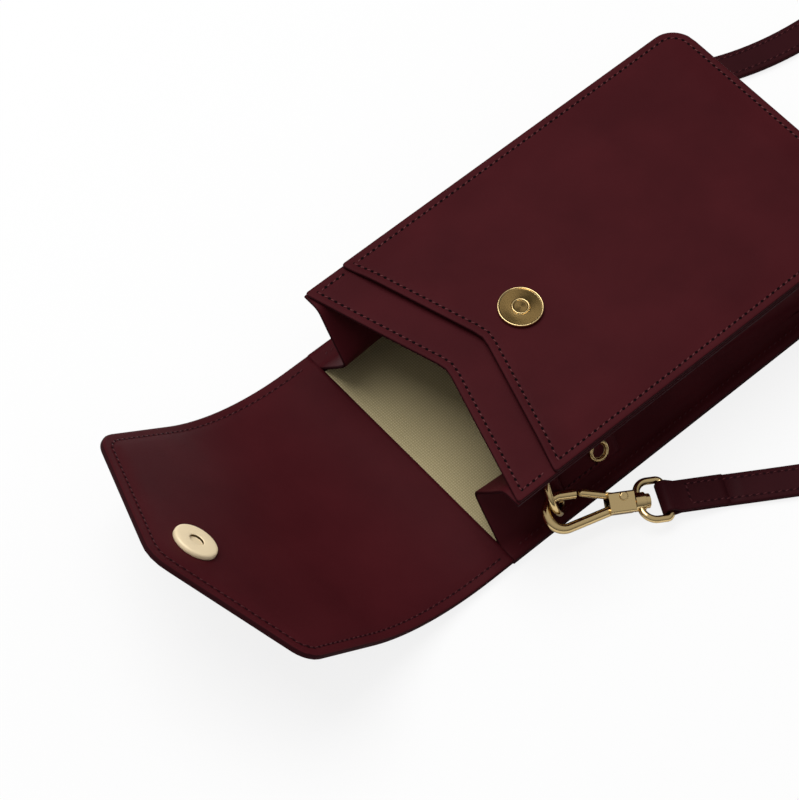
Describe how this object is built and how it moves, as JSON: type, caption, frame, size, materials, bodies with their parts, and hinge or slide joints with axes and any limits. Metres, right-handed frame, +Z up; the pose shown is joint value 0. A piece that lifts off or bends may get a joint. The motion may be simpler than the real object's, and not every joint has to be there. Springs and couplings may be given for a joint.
{
  "type": "phone pouch",
  "caption": "Leather phone pouch with a pointed snap flap, a front slip pocket, folding side gussets and a clip-on strap.",
  "frame": {"origin": "centre of the back panel's resting face", "axes": "+X from the mouth to the bottom end, +Y to the pouch's left side, +Z up out of the front"},
  "size_m": [0.5277, 0.2042, 0.0654],
  "materials": {
    "leather": "fine pebble grain, satin",
    "strap_leather": "satin",
    "lining": "woven",
    "board": "pressed fibre board",
    "gold_metal": "polished, pale gold plated",
    "steel": "plain",
    "magnet": "matt"
  },
  "bodies": {
    "pouch": {"back_panel": "leather", "front_panel": "leather", "pocket_panel": "leather", "gusset_lower_left": "leather", "gusset_inner_left": "leather", "gusset_upper_left": "leather", "gusset_lower_right": "leather", "gusset_inner_right": "leather", "gusset_upper_right": "leather", "gusset_bottom": "leather", "ring_tab_left": "leather", "ring_tab_right": "leather", "back_board": "board", "back_lining": "lining", "front_lining": "lining", "snap_stud": "gold_metal", "stud_post": "gold_metal", "stud_washer": "steel", "ring_rivet_left": "gold_metal", "ring_rivet_right": "gold_metal", "swivel_eye_left": "gold_metal", "swivel_eye_right": "gold_metal", "strap_fold_left": "strap_leather", "strap_fold_right": "strap_leather", "strap": "strap_leather"},
    "flap_root": {"flap_root_inner": "leather", "flap_root_outer": "leather", "flap_root_board": "board"},
    "flap_fold": {"flap_fold_inner": "leather", "flap_fold_outer": "leather", "flap_fold_board": "board"},
    "flap_front": {"flap_front_inner": "leather", "flap_front_outer": "leather", "flap_front_board": "board", "snap_socket": "gold_metal", "snap_magnet": "magnet", "socket_base": "gold_metal", "socket_washer": "steel"},
    "ring_right": {"d_ring_right": "gold_metal"},
    "hook_right": {"hook_body_right": "gold_metal", "gate_pin_right": "gold_metal", "gate_spring_right": "steel"},
    "gate_right": {"hook_gate_right": "gold_metal"},
    "ring_left": {"d_ring_left": "gold_metal"},
    "hook_left": {"hook_body_left": "gold_metal", "gate_pin_left": "gold_metal", "gate_spring_left": "steel"},
    "gate_left": {"hook_gate_left": "gold_metal"}
  },
  "joints": [
    {"name": "flap_open", "type": "hinge", "parent": "pouch", "child": "flap_root", "pos_m": [-0.088, 0, 0.004], "axis": [0, 1, 0], "range_deg": [0, 62.24]},
    {"name": "flap_bend", "type": "hinge", "parent": "flap_root", "child": "flap_fold", "pos_m": [-0.115, 0, 0.004], "axis": [0, 1, 0], "range_deg": [0, 16.97]},
    {"name": "flap_turn", "type": "hinge", "parent": "flap_fold", "child": "flap_front", "pos_m": [-0.13644, 0, 0.01223], "axis": [0, 1, 0], "range_deg": [0, 58.78]},
    {"name": "ring_swing_right", "type": "hinge", "parent": "pouch", "child": "ring_right", "pos_m": [-0.062, -0.04544, 0.01247], "axis": [0, 0.5842, 0.8116], "range_deg": [0, 8]},
    {"name": "hook_swivel_right", "type": "hinge", "parent": "pouch", "child": "hook_right", "pos_m": [-0.06634, -0.05475, 0.01151], "axis": [0.8775, -0.4471, -0.1736], "range_deg": [0, 10]},
    {"name": "gate_right", "type": "hinge", "parent": "hook_right", "child": "gate_right", "pos_m": [-0.04615, -0.06254, 0.00863], "axis": [-0.0266, -0.4069, 0.9131], "range_deg": [0, 20], "stiffness_Nm_per_rad": 0.02, "springref_deg": -17.19},
    {"name": "ring_swing_left", "type": "hinge", "parent": "pouch", "child": "ring_left", "pos_m": [-0.062, 0.04544, 0.01247], "axis": [0, -0.5842, 0.8116], "range_deg": [-8, 0]},
    {"name": "hook_swivel_left", "type": "hinge", "parent": "pouch", "child": "hook_left", "pos_m": [-0.06257, 0.0544, 0.01844], "axis": [0.9587, 0.1177, -0.2588], "range_deg": [-10, 10]},
    {"name": "gate_left", "type": "hinge", "parent": "hook_left", "child": "gate_left", "pos_m": [-0.04187, 0.05926, 0.01346], "axis": [0.2805, -0.2433, 0.9285], "range_deg": [0, 20], "stiffness_Nm_per_rad": 0.02, "springref_deg": -17.19}
  ]
}
